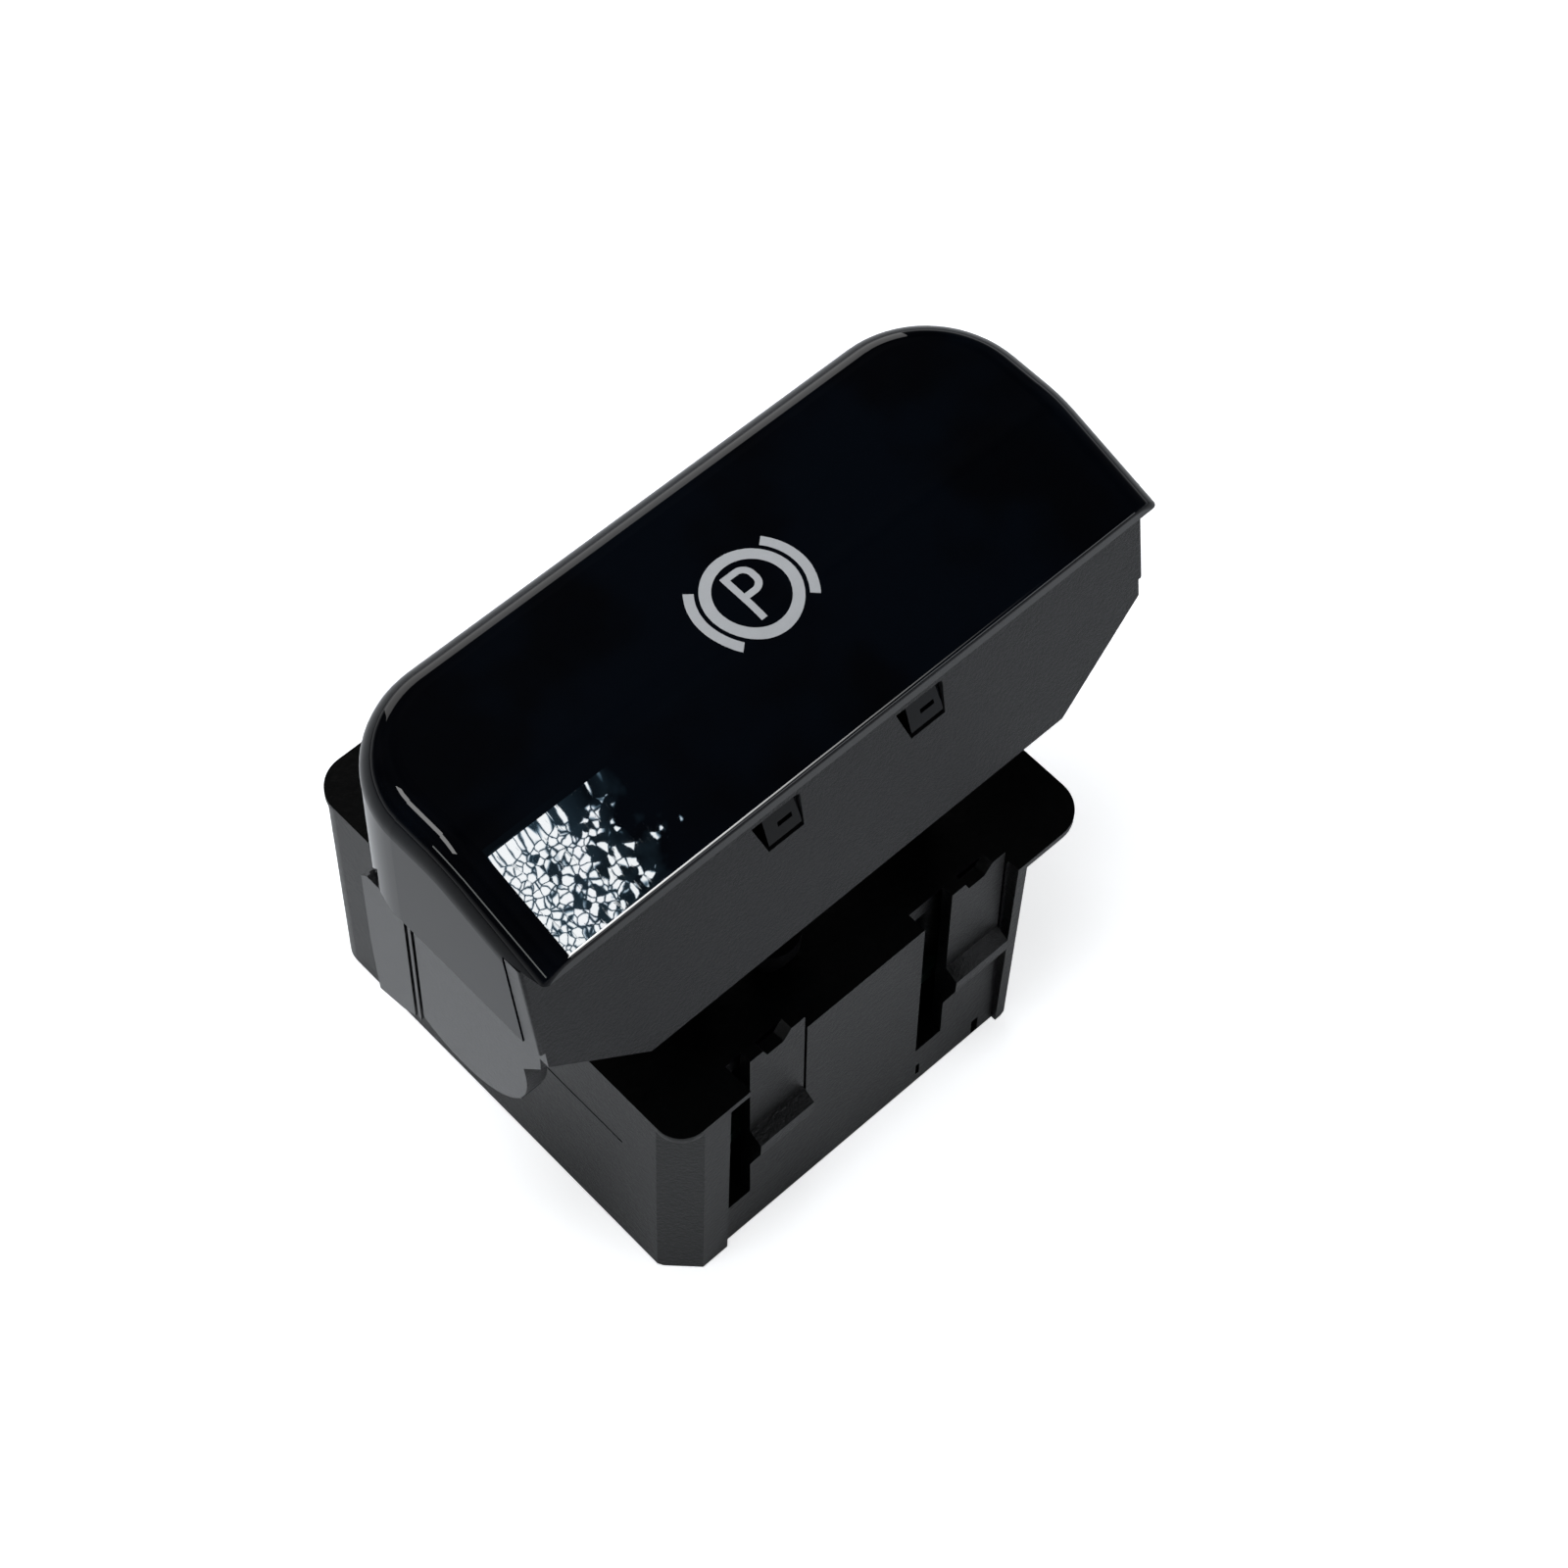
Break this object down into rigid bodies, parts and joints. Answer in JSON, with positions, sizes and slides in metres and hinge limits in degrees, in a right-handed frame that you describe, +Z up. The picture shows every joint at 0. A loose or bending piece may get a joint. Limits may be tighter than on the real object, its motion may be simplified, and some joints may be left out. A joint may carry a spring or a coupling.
{
  "type": "electric parking brake switch",
  "caption": "Console switch whose wide hooded lever rocks on a flanged snap-in housing, lifted to apply and pressed to release the parking brake.",
  "frame": {"origin": "in the plane of the housing's bottom rim, below the middle of the flange", "axes": "+X along the lever, +Y from the finger side to the far side, +Z up"},
  "size_m": [0.0664, 0.0484, 0.0634],
  "materials": {
    "housing_black": "smooth black moulding",
    "cap_black": "piano black",
    "frame_black": "fine grain",
    "board_green": "solder mask",
    "tin": "tinned",
    "chip_black": "moulded",
    "led_white": "smooth",
    "switch_grey": "smooth",
    "clear_guide": "polished clear",
    "lens_white": "smooth",
    "pin_steel": "ground",
    "screw_steel": "zinc plated",
    "spring_steel": "drawn wire",
    "bush_cream": "smooth",
    "plunger_black": "smooth"
  },
  "bodies": {
    "base": {"housing": "housing_black", "bottom_cover": "housing_black", "circuit_board": "board_green", "terminal_pins": "tin", "chip_resistors": "chip_black", "control_chip": "chip_black", "symbol_led": "led_white", "release_switch": "switch_grey", "apply_switch": "switch_grey", "light_guide_lower": "clear_guide", "pivot_pin_left": "pin_steel", "pivot_pin_right": "pin_steel", "board_screws": "screw_steel", "cover_screws": "screw_steel"},
    "lever": {"lever_cap": "cap_black", "lever_frame": "frame_black", "lever_yoke": "frame_black", "yoke_screws": "screw_steel", "pivot_bush_left": "bush_cream", "pivot_bush_right": "bush_cream", "light_guide_upper": "clear_guide", "symbol_lens": "lens_white"},
    "release_button": {"release_plunger": "plunger_black", "release_spring": "spring_steel"},
    "apply_button": {"apply_plunger": "plunger_black", "apply_spring": "spring_steel"}
  },
  "joints": [
    {"name": "lever_hinge", "type": "hinge", "parent": "base", "child": "lever", "pos_m": [0, -0.007, 0.0388], "axis": [-1, 0, 0], "range_deg": [-8, 8], "stiffness_Nm_per_rad": 0.7},
    {"name": "release_plunge", "type": "slide", "parent": "base", "child": "release_button", "axis": [0, 0, 1], "range_m": [-0.0012, 0.0012], "deforming": ["release_spring"]},
    {"name": "apply_plunge", "type": "slide", "parent": "base", "child": "apply_button", "axis": [0, 0, 1], "range_m": [-0.0012, 0.0012], "deforming": ["apply_spring"]}
  ],
  "couplings": [
    {"joint": "release_plunge", "follows": "lever_hinge", "m_per_rad": 0.008},
    {"joint": "apply_plunge", "follows": "lever_hinge", "m_per_rad": -0.008}
  ]
}
